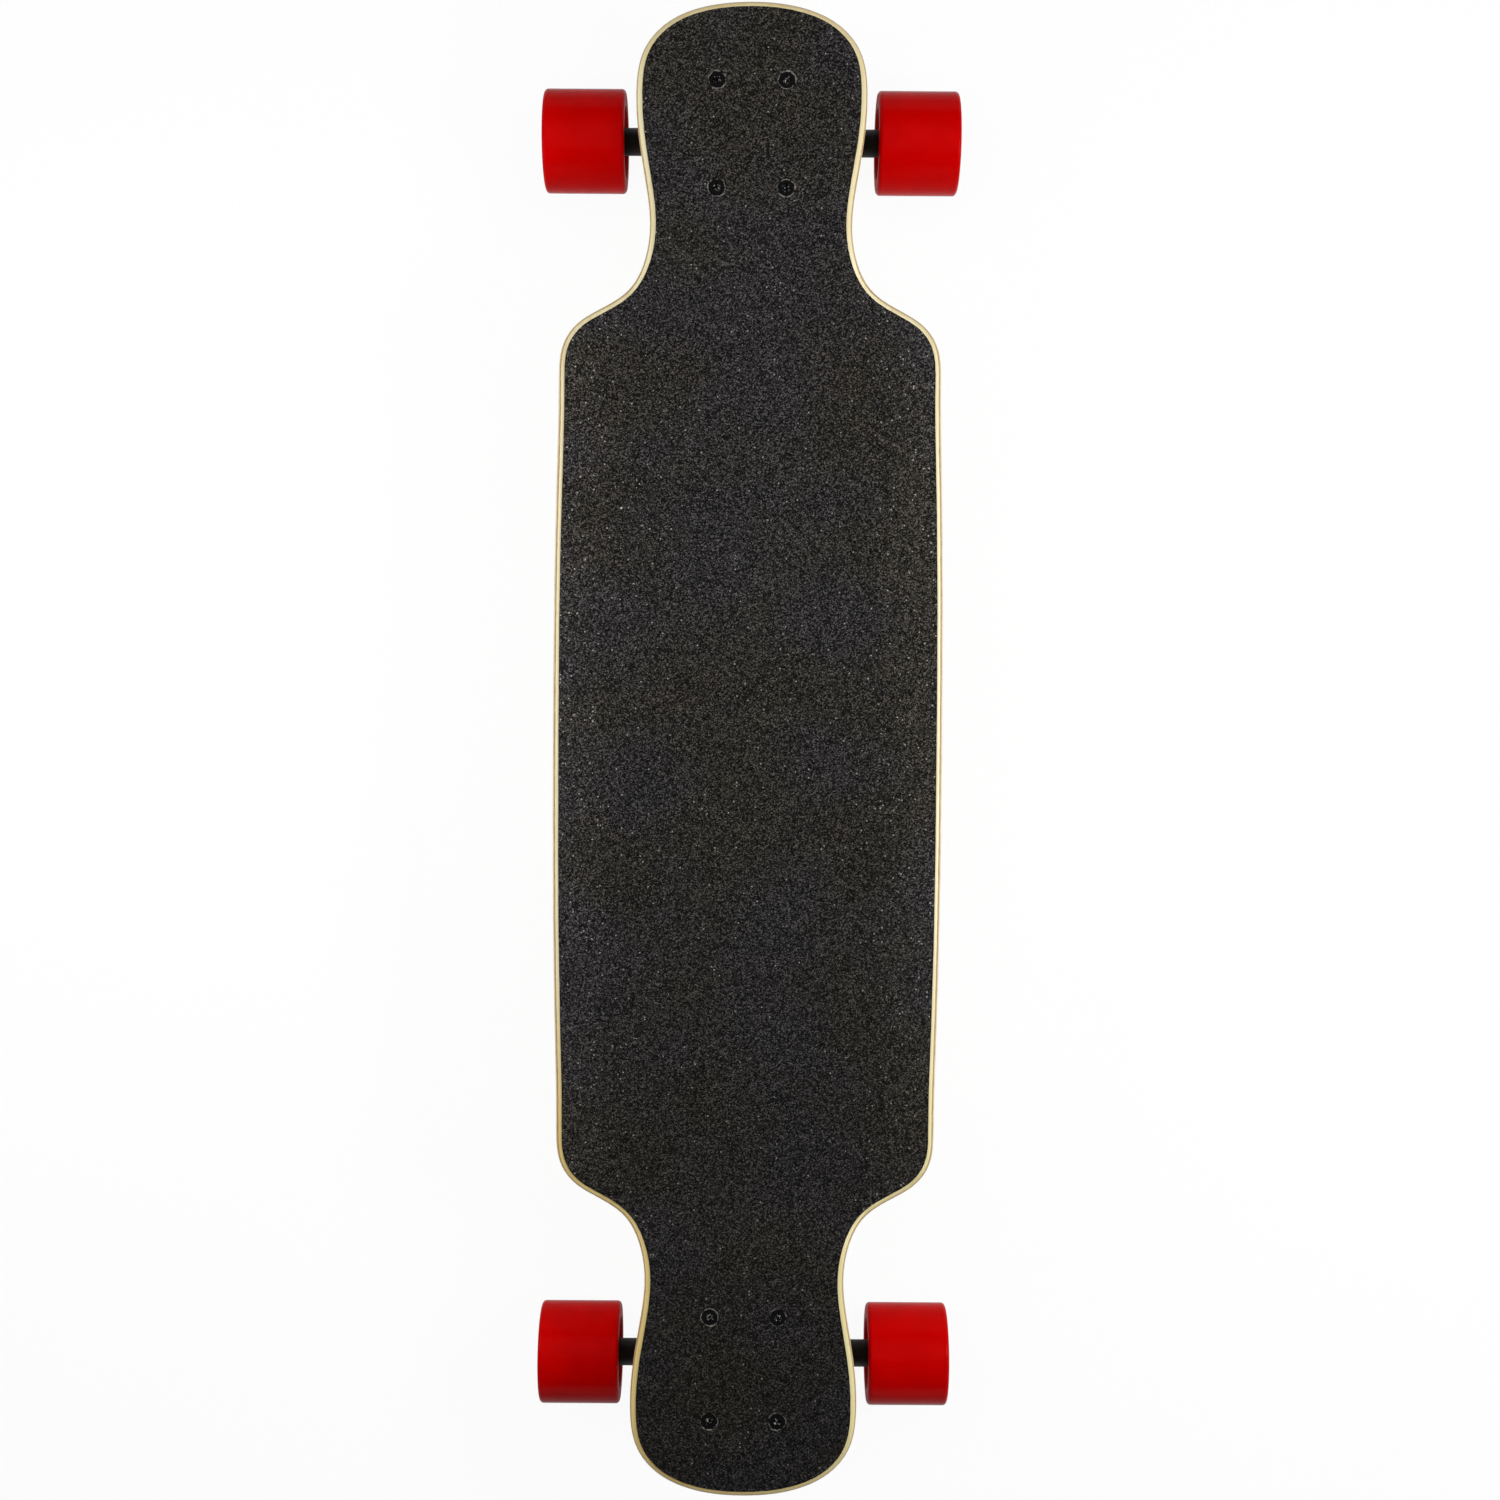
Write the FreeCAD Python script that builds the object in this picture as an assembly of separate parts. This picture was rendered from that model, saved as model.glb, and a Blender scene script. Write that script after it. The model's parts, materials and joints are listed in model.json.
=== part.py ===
import FreeCAD
import Part
import math
import os

from FreeCAD import Vector

# Longboard skateboard. X runs across the board, +Y towards the nose and +Z up.
# The origin is on the ground under the middle of the deck. All lengths are in millimetres.

# Deck, with places along it measured from the tips inwards
deck_length = 898.0
deck_width = 235.5
deck_thickness = 11.0
nose_width = 137.5
nose_reach = 53.0       # tip to the widest part of the nose
mount_setback = 78.5    # tip to the middle of the truck bolts
neck_width = 120.5
neck_setback = 52.5     # truck bolts to the narrowest part of the neck
shoulder_length = 93.0  # neck to the start of the full width
deck_drop = 12.0        # platform below the nose and the tail
ramp_length = 72.0
ramp_clear = 7.0        # ramp to the end of the baseplate
floor_margin = 7.0      # flat floor beyond half the nose width
rail_lift = 6.5         # how far the concave lifts the rails
rail_round = 3.5
trim_margin = 4.0       # raw sheet outside the finished outline

# Outline points: share of the half width, then share of the way along
nose_shares = ((0.46, 0.927), (0.773, 0.725), (0.934, 0.463))
waist_shares = ((0.77, 0.615), (0.16, 0.205))
shoulder_shares = ((0.041, 0.8), (0.208, 0.607), (0.498, 0.484), (0.77, 0.376), (0.9, 0.26), (0.952, 0.0))
side_shares = ((0.987, 0.71),)
rail_curl_share = 0.4   # lift half way up the concave
concave_middle_share = 0.45

# Grip tape
grip_thickness = 0.9
grip_inset = 3.7
glue_film = 0.05
grip_hole_gap = 0.5

# Deck bolts and their lock nuts
bolt_spacing_x = 41.275
bolt_spacing_y = 63.5
bolt_diameter = 4.76
bolt_gap = 0.25
bolt_head_diameter = 9.6
bolt_head_land = 0.4
bolt_head_sink = 0.35   # head below the top of the grip
bolt_tail = 3.0         # thread beyond the nut
cross_length = 5.4
cross_width = 1.3
cross_depth = 2.0
lock_nut_flats = 9.5
lock_nut_height = 4.2
lock_nut_collar = 1.6

# Fits and seats
seat_gap = 0.03         # parts that rest on each other
running_gap = 0.05      # parts that turn in each other
thread_gap = 0.03
overrun = 2.0           # how far a cut runs past a face

# Truck as a whole
truck_height = 62.0     # axle to the underside of the deck
axle_offset = 13.0      # axle outboard of the truck bolts
steer_tilt = 42.0       # degrees from level to the steering axis
axle_rake = 8.0         # axle to the steering axis
ring_reach = 22.0       # along the steering axis, axle to kingpin
pivot_reach = 15.0      # along the steering axis, axle to pivot ball

# Baseplate
plate_length = 82.0
plate_width = 54.0
plate_thickness = 6.0
plate_corner = 9.0
casting_round = 2.0
tower_back = 31.0       # bolt middle to the back of the pivot tower
tower_corner = 7.0
tower_wall = 3.4
pivot_mouth = 2.0       # mouth of the pivot beyond the ball's middle
seat_wall = 9.0         # metal between the kingpin's head and the bushing
seat_margin = 1.0
seat_depth = 12.0
wedge_toe = 6.0

# Kingpin, bushings and washers
kingpin_diameter = 9.525
kingpin_flats = 14.3
kingpin_head = 6.4
kingpin_nut_height = 6.6
kingpin_nut_collar = 2.2
kingpin_tail = 2.0
head_pocket_gap = 0.4
bushing_diameter = 24.6
bushing_gap = 0.15
bushing_round = 1.6
board_bushing_height = 15.0
road_bushing_height = 13.0
road_bushing_tip = 17.5
board_washer_diameter = 27.6
road_washer_diameter = 20.6
washer_thickness = 1.8
washer_rim = 1.2

# Hanger and axle
hanger_width = 181.5
tube_diameter = 17.0
hub_diameter = 21.0
hub_width = 40.0
taper_length = 26.0
ring_height = 12.0
ring_wall = 3.6
ring_seat_depth = 1.5
ring_seat_gap = 0.3
ring_hole = 16.0
wing_reach = 56.0
wing_thickness = 8.0
wing_shift = 2.0        # wing middle towards the axle
wing_foot = 6.0
wing_round = 2.5
wing_corner = 6.0
pivot_ball = 13.0
pivot_neck = 9.6
pivot_root = 18.0
pivot_neck_length = 8.0
pivot_cup_wall = 2.2
axle_diameter = 8.0
axle_tail = 2.0
axle_nut_flats = 12.7
axle_nut_height = 4.8
axle_nut_collar = 1.4
speed_washer_diameter = 11.2
speed_washer_thickness = 1.0

# Wheels
wheel_diameter = 63.5
wheel_width = 50.5
wheel_round = 2.4
lip_diameter = 45.0
lip_depth = 11.5
lip_round = 1.5
core_diameter = 35.0
bond_gap = 0.02
core_wall = 1.8
spoke_count = 8
spoke_width = 2.4
spoke_depth = 7.0

# Ball bearings, two in each wheel
bearing_diameter = 22.0
bearing_width = 7.0
inner_race_diameter = 12.0
outer_race_bore = 19.0
race_round = 0.5
ball_count = 7
ball_diameter = 3.97
shield_thickness = 0.35
shield_sink = 0.2
shield_gap = 0.25
spacer_length = 10.0
spacer_diameter = 11.0
shoulder_bore = 19.0

# Corner roundings reach at most this far along the shorter side
corner_limit_share = 0.45

# Places worked out from the sizes
half_length = deck_length / 2
nose_y = half_length - nose_reach
mount_y = half_length - mount_setback
neck_y = mount_y - neck_setback
waist_y = neck_y - shoulder_length
axle_y = mount_y + axle_offset
axle_z = wheel_diameter / 2
mount_z = axle_z + truck_height
deck_bottom = mount_z + seat_gap
deck_top = deck_bottom + deck_thickness
grip_bottom = deck_top + glue_film
grip_top = grip_bottom + grip_thickness

tilt = math.radians(steer_tilt)
steer_axis = Vector(0, math.cos(tilt), math.sin(tilt))
kingpin_axis = Vector(0, math.sin(tilt), -math.cos(tilt))
across = Vector(1, 0, 0)
up = Vector(0, 0, 1)
axle_middle = Vector(0, axle_y, axle_z)
steer_foot = axle_middle - kingpin_axis * axle_rake
ring_middle = steer_foot + steer_axis * ring_reach
pivot_middle = steer_foot - steer_axis * pivot_reach
mouth_middle = pivot_middle + steer_axis * pivot_mouth

bushing_start = ring_height / 2 - ring_seat_depth + seat_gap
seat_reach = bushing_start + board_bushing_height + washer_thickness
head_reach = seat_reach + seat_wall
road_washer_start = bushing_start + road_bushing_height
kingpin_nut_start = road_washer_start + washer_thickness
kingpin_end = kingpin_nut_start + kingpin_nut_height + kingpin_nut_collar + kingpin_tail
seat_middle = ring_middle - kingpin_axis * seat_reach

cup_bore = pivot_ball / 2 + running_gap
cup_radius = cup_bore + pivot_cup_wall
boss_radius = cup_radius + seat_gap + tower_wall
seat_radius = board_washer_diameter / 2 + seat_margin

bearing_inner = hanger_width / 2 + speed_washer_thickness
wheel_x = bearing_inner + bearing_width + spacer_length / 2
bearing_step = (spacer_length + bearing_width) / 2
bearing_outer = bearing_inner + 2 * bearing_width + spacer_length
axle_nut_start = bearing_outer + speed_washer_thickness
axle_end = axle_nut_start + axle_nut_height + axle_nut_collar + axle_tail
core_half = wheel_width / 2 - lip_depth
pitch_radius = (inner_race_diameter + outer_race_bore) / 4


def side_of(axis):
    """A fixed direction square to the axis."""
    return up if abs(axis.x) > abs(axis.z) else across


def rounded_wire(corners, place):
    """Closed wire through flat corners (p, q, radius); place turns p and q into a point."""
    flat = [Vector(p, q, 0) for p, q, radius in corners]
    count = len(flat)
    runs = []
    for index, (p, q, radius) in enumerate(corners):
        here = flat[index]
        before = flat[index - 1] - here
        after = flat[(index + 1) % count] - here
        if radius == 0:
            runs.append((here, None, here))
            continue
        half = before.getAngle(after) / 2
        limit = corner_limit_share * min(before.Length, after.Length)
        reach = min(radius / math.tan(half), limit)
        before.normalize()
        after.normalize()
        middle = before + after
        middle.normalize()
        depth = reach / math.cos(half) - reach * math.tan(half)
        runs.append((here + before * reach, here + middle * depth, here + after * reach))
    edges = []
    for index, (start, bulge, end) in enumerate(runs):
        if bulge is not None:
            arc = Part.Arc(*[place(point.x, point.y) for point in (start, bulge, end)])
            edges.append(arc.toShape())
        following = runs[(index + 1) % count][0]
        edges.append(Part.makeLine(place(end.x, end.y), place(following.x, following.y)))
    return Part.Wire(edges)


def turned(corners, origin, axis):
    """Solid turned about an axis from corners (along, radius, rounding)."""
    out = side_of(axis)
    wire = rounded_wire(corners, lambda along, radius: origin + axis * along + out * radius)
    return Part.Face(wire).revolve(origin, axis, 360)


def rod(origin, axis, start, end, diameter):
    """Round bar between two places along an axis."""
    return Part.makeCylinder(diameter / 2, end - start, origin + axis * start, axis)


def tube(origin, axis, start, end, outer, inner):
    """Round bar with a bore through it."""
    return rod(origin, axis, start, end, outer).cut(rod(origin, axis, start, end, inner))


def slab(corners, thickness, origin, first, second):
    """Plate with rounded corners, its thickness centred on the plane of its outline."""
    normal = first.cross(second)
    start = origin - normal * (thickness / 2)
    wire = rounded_wire(corners, lambda p, q: start + first * p + second * q)
    return Part.Face(wire).extrude(normal * thickness)


def hexagon(origin, axis, start, end, flats):
    """Six-sided bar with its corners chamfered at both ends."""
    first = side_of(axis)
    second = axis.cross(first)
    corner = flats / math.sqrt(3)
    points = []
    for index in range(7):
        angle = math.radians(60 * index)
        points.append(origin + axis * start + (first * math.cos(angle) + second * math.sin(angle)) * corner)
    bar = Part.Face(Part.makePolygon(points)).extrude(axis * (end - start))
    bevel = (corner - flats / 2) * math.tan(math.radians(30))
    rim = [(start, 0, 0), (start, flats / 2, 0), (start + bevel, corner, 0),
           (end - bevel, corner, 0), (end, flats / 2, 0), (end, 0, 0)]
    return bar.common(turned(rim, origin, axis))


def locking_nut(origin, axis, start, flats, height, collar, thread):
    """Nut with a round locking collar on its outer face."""
    body = hexagon(origin, axis, start, start + height, flats)
    top = start + height + collar
    rim = [(start, 0, 0), (top, 0, 0), (top, flats / 2 - collar / 2, 0), (start + height, flats / 2, 0),
           (start, flats / 2, 0)]
    body = body.fuse(turned(rim, origin, axis)).removeSplitter()
    return body.cut(rod(origin, axis, start - overrun, top + overrun, thread + 2 * thread_gap))


def bolt_places():
    """The four truck bolts of the front truck, as points at the mounting height."""
    return [Vector(side * bolt_spacing_x / 2, mount_y + end * bolt_spacing_y / 2, mount_z)
            for side in (-1, 1) for end in (-1, 1)]


def turned_round(shape):
    """The same shape at the other end of the board."""
    copy = shape.copy()
    copy.rotate(Vector(0, 0, 0), up, 180)
    return copy


def between(low, high, share):
    return low + (high - low) * share


def quarter_points():
    """Outline of a quarter of the deck, from the nose tip to the middle of the right side."""
    nose, neck, side = nose_width / 2, neck_width / 2, deck_width / 2
    points = [Vector(0, half_length, 0)]
    points += [Vector(nose * w, between(nose_y, half_length, s), 0) for w, s in nose_shares]
    points.append(Vector(nose, nose_y, 0))
    points += [Vector(between(neck, nose, w), between(neck_y, nose_y, s), 0) for w, s in waist_shares]
    points.append(Vector(neck, neck_y, 0))
    points += [Vector(between(neck, side, w), between(waist_y, neck_y, s), 0) for w, s in shoulder_shares]
    points += [Vector(side * w, waist_y * s, 0) for w, s in side_shares]
    points.append(Vector(side, 0, 0))
    return points


def loop_points():
    """Outline of the whole deck, once round from the nose tip."""
    quarter = quarter_points()
    right = quarter + [Vector(point.x, -point.y, 0) for point in quarter[-2::-1]]
    return right + [Vector(-point.x, point.y, 0) for point in right[-2:0:-1]]


def closed_spline(points):
    curve = Part.BSplineCurve()
    curve.interpolate(Points=points, PeriodicFlag=True)
    return curve


def deck_outline(inset):
    """Outline of the deck as a flat face at ground level, drawn in by the inset."""
    curve = closed_spline(loop_points())
    points = []
    for point in loop_points():
        along = curve.tangent(curve.parameter(point))[0]
        points.append(point + along.cross(up) * inset)
    return Part.Face(Part.Wire([closed_spline(points).toShape()]))


def pole_places(knots):
    """Where the poles of a cubic sheet lie, so that its grid stays even between the knots."""
    full = [knots[0]] * 3 + knots + [knots[-1]] * 3
    return [sum(full[index + 1:index + 4]) / 3 for index in range(len(full) - 4)]


def deck_sheet():
    """Top face of the pressed plank before trimming: flat ends, dropped platform, rails turned up."""
    side = deck_width / 2 + trim_margin
    end = half_length + trim_margin
    floor = nose_width / 2 + floor_margin
    curl = between(floor, side, concave_middle_share)
    ramp_out = mount_y - plate_length / 2 - ramp_clear
    ramp = [ramp_out - ramp_length * step / 3 for step in range(4)]
    knots_x = [-side, -curl, -floor, floor, curl, side]
    knots_y = [-end] + [-place for place in ramp] + ramp[::-1] + [end]
    lift_x = [rail_lift, rail_lift * rail_curl_share, 0, 0, 0, 0, rail_lift * rail_curl_share, rail_lift]
    lift_y = [0] * 4 + [-deck_drop] * 4 + [0] * 4
    poles = [[Vector(x, y, deck_top + rise + fall) for y, fall in zip(pole_places(knots_y), lift_y)]
             for x, rise in zip(pole_places(knots_x), lift_x)]
    mults_x = [4] + [1] * (len(knots_x) - 2) + [4]
    mults_y = [4] + [1] * (len(knots_y) - 2) + [4]
    sheet = Part.BSplineSurface()
    sheet.buildFromPolesMultsKnots(poles, mults_x, mults_y, knots_x, knots_y, False, False, 3, 3)
    return sheet.toShape()


def bolt_corners(extra):
    """Profile of a deck bolt along its axis, from its end to its head, grown by the extra."""
    shank = bolt_diameter / 2
    head = bolt_head_diameter / 2
    top = grip_top - mount_z - bolt_head_sink
    tail = -plate_thickness - lock_nut_height - lock_nut_collar - bolt_tail
    neck = top - bolt_head_land - (head - shank)
    return [(tail, 0, 0), (tail, shank + extra, 0), (neck, shank + extra, 0),
            (top - bolt_head_land, head + extra, 0), (top, head + extra, 0), (top, 0, 0)]


def trimmed(solid, outline):
    """The part of a pressed solid inside an outline."""
    return solid.common(outline.extrude(up * (grip_top + deck_length)))


def make_deck():
    plank = trimmed(deck_sheet().extrude(up * -deck_thickness), deck_outline(0))
    rails = [edge for edge in plank.Edges if abs(edge.tangentAt(edge.FirstParameter).z) < 0.9]
    plank = plank.makeFillet(rail_round, rails)
    for place in bolt_places():
        hole = turned(bolt_corners(bolt_gap), place, up)
        plank = plank.cut(hole).cut(turned_round(hole))
    return plank


def make_grip():
    sheet = deck_sheet()
    sheet.translate(up * glue_film)
    grip = trimmed(sheet.extrude(up * grip_thickness), deck_outline(grip_inset))
    for place in bolt_places():
        hole = rod(place, up, 0, deck_length, bolt_head_diameter + 2 * grip_hole_gap)
        grip = grip.cut(hole).cut(turned_round(hole))
    return grip


def make_deck_bolts():
    bolts = []
    top = grip_top - mount_z - bolt_head_sink
    for place in bolt_places():
        bolt = turned(bolt_corners(0), place, up)
        for long_x, long_y in ((cross_length, cross_width), (cross_width, cross_length)):
            corner = place + Vector(-long_x / 2, -long_y / 2, top - cross_depth)
            bolt = bolt.cut(Part.makeBox(long_x, long_y, cross_depth + overrun, corner))
        bolts.append(bolt)
    return bolts


def make_lock_nuts():
    return [locking_nut(place, -up, plate_thickness, lock_nut_flats, lock_nut_height, lock_nut_collar,
                        bolt_diameter) for place in bolt_places()]


def flat_place(point):
    """A point of the truck's middle plane as distances outboard of the bolts and below the deck."""
    return (point.y - mount_y, mount_z - point.z)


def pivot_bar(radius, reach):
    """Bar with a round end behind the pivot ball, reaching forward of the ball's middle."""
    bar = rod(pivot_middle, steer_axis, 0, reach, 2 * radius)
    return bar.fuse(Part.makeSphere(radius, pivot_middle, steer_axis, -90, 0)).removeSplitter()


def make_baseplate():
    along, side = plate_length / 2, plate_width / 2
    outline = [(-side, -along, plate_corner), (side, -along, plate_corner),
               (side, along, plate_corner), (-side, along, plate_corner)]
    plate_middle = Vector(0, mount_y, mount_z - plate_thickness / 2)
    plate = slab(outline, plate_thickness, plate_middle, across, Vector(0, 1, 0))
    root = (-tower_back, plate_thickness / 2)
    pivot = flat_place(pivot_middle)
    lean = Vector(pivot[0] - root[0], pivot[1] - root[1], 0).normalize()
    back = (pivot[0] - lean.y * boss_radius, pivot[1] + lean.x * boss_radius)
    mouth = flat_place(mouth_middle - kingpin_axis * boss_radius)
    seat_in = flat_place(seat_middle - steer_axis * seat_radius)
    seat_out = flat_place(seat_middle + steer_axis * seat_radius)
    toe = (seat_out[0] + wedge_toe, plate_thickness / 2)
    outline = [root + (0,), back + (0,), pivot + (0,), mouth + (casting_round,), seat_in + (tower_corner,),
               seat_out + (casting_round,), toe + (0,)]
    origin = Vector(0, mount_y, mount_z)
    tower = slab(outline, 2 * boss_radius, origin, Vector(0, 1, 0), -up)
    edges = [edge for edge in tower.Edges if abs(edge.tangentAt(edge.FirstParameter).x) < 0.9]
    tower = tower.makeFillet(casting_round, edges)
    seat = turned([(-seat_depth, 0, 0), (-seat_depth, seat_radius, 0), (0, seat_radius, casting_round / 2),
                   (0, 0, 0)], seat_middle, kingpin_axis)
    plate = plate.fuse([tower, seat, pivot_bar(boss_radius, pivot_mouth)]).removeSplitter()
    above = Part.makeBox(plate_width, plate_length, deck_length,
                         Vector(-plate_width / 2, mount_y - plate_length / 2, mount_z))
    plate = plate.cut(above)
    plate = plate.cut(pivot_bar(cup_radius + seat_gap, pivot_mouth + overrun))
    plate = plate.cut(rod(ring_middle, kingpin_axis, -head_reach - overrun, 0, kingpin_diameter + 2 * seat_gap))
    pocket = 2 * kingpin_flats / math.sqrt(3) + 2 * head_pocket_gap
    plate = plate.cut(rod(ring_middle, kingpin_axis, -head_reach - plate_length, -head_reach, pocket))
    for place in bolt_places():
        hole = rod(place, -up, -overrun, plate_thickness + overrun, bolt_diameter + 2 * bolt_gap)
        plate = plate.cut(hole)
    return plate


def make_pivot_cup():
    return pivot_bar(cup_radius, pivot_mouth).cut(pivot_bar(cup_bore, pivot_mouth + overrun))


def make_kingpin():
    shank = rod(ring_middle, kingpin_axis, -head_reach, kingpin_end, kingpin_diameter)
    head = hexagon(ring_middle, kingpin_axis, -head_reach - kingpin_head, -head_reach, kingpin_flats)
    return shank.fuse(head).removeSplitter()


def make_kingpin_nut():
    return locking_nut(ring_middle, kingpin_axis, kingpin_nut_start, kingpin_flats, kingpin_nut_height,
                       kingpin_nut_collar, kingpin_diameter)


def make_bushing(start, end, start_diameter, end_diameter):
    """Urethane bushing on the kingpin, with rounded rims."""
    bore = kingpin_diameter / 2 + bushing_gap
    corners = [(start, bore, 0), (start, start_diameter / 2, bushing_round),
               (end, end_diameter / 2, bushing_round), (end, bore, 0)]
    return turned(corners, ring_middle, kingpin_axis)


def make_cup_washer(base, rim_way, diameter):
    """Dished washer whose rim turns over the end of its bushing."""
    bore = kingpin_diameter / 2 + bushing_gap
    outer = diameter / 2
    wall = washer_thickness / 2
    face = washer_thickness * rim_way
    rim = face + washer_rim * rim_way
    corners = [(base, bore, 0), (base, outer, wall), (base + rim, outer, 0), (base + rim, outer - wall, 0),
               (base + face, outer - wall, 0), (base + face, bore, 0)]
    return turned(corners, ring_middle, kingpin_axis)


def make_hanger():
    end, tube_radius, hub_radius = hanger_width / 2, tube_diameter / 2, hub_diameter / 2
    taper = hub_width / 2 + taper_length
    corners = [(-end, 0, 0), (-end, tube_radius, casting_round / 2), (-taper, tube_radius, taper_length),
               (-hub_width / 2, hub_radius, taper_length), (hub_width / 2, hub_radius, taper_length),
               (taper, tube_radius, taper_length), (end, tube_radius, casting_round / 2), (end, 0, 0)]
    beam = turned(corners, axle_middle, across)
    seat = bushing_diameter / 2 + ring_seat_gap
    rim = seat + ring_wall
    top = ring_height / 2
    ring = turned([(-top, 0, 0), (-top, rim, casting_round), (top, rim, casting_round), (top, 0, 0)],
                  ring_middle, kingpin_axis)
    wing_middle = steer_foot + kingpin_axis * wing_shift
    outline = [(-wing_reach, -wing_foot, 0), (wing_reach, -wing_foot, 0), (wing_reach, wing_foot, wing_corner),
               (rim, ring_reach, wing_corner), (-rim, ring_reach, wing_corner),
               (-wing_reach, wing_foot, wing_corner)]
    wing = slab(outline, wing_thickness, wing_middle, across, steer_axis)
    edges = [edge for edge in wing.Edges if abs(edge.tangentAt(edge.FirstParameter).dot(kingpin_axis)) < 0.9]
    wing = wing.makeFillet(wing_round, edges)
    stem = turned([(0, 0, 0), (0, pivot_root / 2, 0), (pivot_reach - pivot_neck_length, pivot_neck / 2, 0),
                   (pivot_reach, pivot_neck / 2, 0), (pivot_reach, 0, 0)], steer_foot, -steer_axis)
    ball = Part.makeSphere(pivot_ball / 2, pivot_middle)
    hanger = beam.fuse([ring, wing, stem, ball]).removeSplitter()
    web = top - ring_seat_depth
    bore = turned([(-top - overrun, 0, 0), (-top - overrun, seat, 0), (-web, seat, 0), (-web, ring_hole / 2, 0),
                   (web, ring_hole / 2, 0), (web, seat, 0), (top + overrun, seat, 0), (top + overrun, 0, 0)],
                  ring_middle, kingpin_axis)
    hanger = hanger.cut(bore)
    return hanger.cut(rod(axle_middle, across, -end - overrun, end + overrun, axle_diameter + 2 * seat_gap))


def make_axle():
    return rod(axle_middle, across, -axle_end, axle_end, axle_diameter)


def make_axle_nuts():
    return [locking_nut(axle_middle, across * side, axle_nut_start, axle_nut_flats, axle_nut_height,
                        axle_nut_collar, axle_diameter) for side in (-1, 1)]


def make_speed_washers():
    washers = []
    for side in (-1, 1):
        for start in (hanger_width / 2, bearing_outer):
            washers.append(tube(axle_middle, across * side, start, start + speed_washer_thickness,
                                speed_washer_diameter, axle_diameter + 2 * seat_gap))
    return washers


def make_tyre(middle, axis):
    half, bore = wheel_width / 2, core_diameter / 2 + bond_gap
    lip, tread = lip_diameter / 2, wheel_diameter / 2
    corners = [(-half, lip, lip_round), (-core_half, bore, 0), (core_half, bore, 0), (half, lip, lip_round),
               (half, tread, wheel_round), (-half, tread, wheel_round)]
    return turned(corners, middle, axis)


def make_core(middle, axis):
    seat = bearing_diameter / 2 + seat_gap
    shoulder, step = shoulder_bore / 2, spacer_length / 2
    rim = core_diameter / 2
    core = turned([(-core_half, seat, 0), (-step, seat, 0), (-step, shoulder, 0), (step, shoulder, 0),
                   (step, seat, 0), (core_half, seat, 0), (core_half, rim, 0), (-core_half, rim, 0)], middle, axis)
    out = side_of(axis)
    for way in (-1, 1):
        face = middle + axis * (way * core_half)
        inward = axis * -way
        pocket = tube(face, inward, -overrun, spoke_depth, core_diameter - 2 * core_wall,
                      2 * (seat + core_wall))
        for index in range(spoke_count):
            spoke = Part.makeBox(spoke_width, core_diameter, spoke_depth + 2 * overrun,
                                 Vector(-spoke_width / 2, 0, -2 * overrun))
            spoke.rotate(Vector(0, 0, 0), up, 360 * index / spoke_count)
            spoke.Placement = FreeCAD.Placement(face, FreeCAD.Rotation(up, inward)).multiply(spoke.Placement)
            pocket = pocket.cut(spoke)
        core = core.cut(pocket)
    return core


def bearing_middles(middle, axis):
    return [middle + axis * (way * bearing_step) for way in (-1, 1)]


def raceway(middle, axis):
    """Groove in which the balls run."""
    return Part.makeTorus(pitch_radius, ball_diameter / 2 + running_gap, middle, axis)


def make_race(middle, axis, inner, outer):
    half = bearing_width / 2
    ring = turned([(-half, inner, race_round), (half, inner, race_round), (half, outer, race_round),
                   (-half, outer, race_round)], middle, axis)
    return ring.cut(raceway(middle, axis))


def make_inner_races(middle, axis):
    bore = axle_diameter / 2 + seat_gap
    return [make_race(place, axis, bore, inner_race_diameter / 2) for place in bearing_middles(middle, axis)]


def make_outer_races(middle, axis):
    return [make_race(place, axis, outer_race_bore / 2, bearing_diameter / 2)
            for place in bearing_middles(middle, axis)]


def make_balls(middle, axis):
    balls = []
    for place in bearing_middles(middle, axis):
        for index in range(ball_count):
            ball = Part.makeSphere(ball_diameter / 2, place + side_of(axis) * pitch_radius)
            ball.rotate(place, axis, 360 * index / ball_count)
            balls.append(ball)
    return balls


def make_shields(middle, axis):
    shields = []
    far = bearing_width / 2 - shield_sink
    for place in bearing_middles(middle, axis):
        for way in (-1, 1):
            shields.append(tube(place, axis * way, far - shield_thickness, far, outer_race_bore - seat_gap,
                                inner_race_diameter + 2 * shield_gap))
    return shields


def make_spacer(middle, axis):
    return tube(middle, axis, -spacer_length / 2, spacer_length / 2, spacer_diameter,
                axle_diameter + 2 * seat_gap)


def truck_pieces():
    """The pieces of the front truck by name."""
    board_face = -seat_reach
    return {
        "deck_bolts": make_deck_bolts(),
        "lock_nuts": make_lock_nuts(),
        "baseplate": make_baseplate(),
        "pivot_cup": make_pivot_cup(),
        "kingpin": make_kingpin(),
        "kingpin_nut": make_kingpin_nut(),
        "boardside_bushing": make_bushing(-bushing_start - board_bushing_height, -bushing_start,
                                          bushing_diameter, bushing_diameter),
        "roadside_bushing": make_bushing(bushing_start, road_washer_start, bushing_diameter, road_bushing_tip),
        "boardside_washer": make_cup_washer(board_face, 1, board_washer_diameter),
        "roadside_washer": make_cup_washer(kingpin_nut_start, -1, road_washer_diameter),
        "hanger": make_hanger(),
        "axle": make_axle(),
        "axle_nuts": make_axle_nuts(),
        "speed_washers": make_speed_washers(),
    }


def wheel_pieces(side):
    """The pieces of the front wheel on one side by name."""
    middle = axle_middle + across * (side * wheel_x)
    axis = across * side
    return {
        "wheel_tyre": make_tyre(middle, axis),
        "wheel_core": make_core(middle, axis),
        "outer_races": make_outer_races(middle, axis),
        "inner_races": make_inner_races(middle, axis),
        "bearing_balls": make_balls(middle, axis),
        "bearing_shields": make_shields(middle, axis),
        "bearing_spacer": make_spacer(middle, axis),
    }


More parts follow.
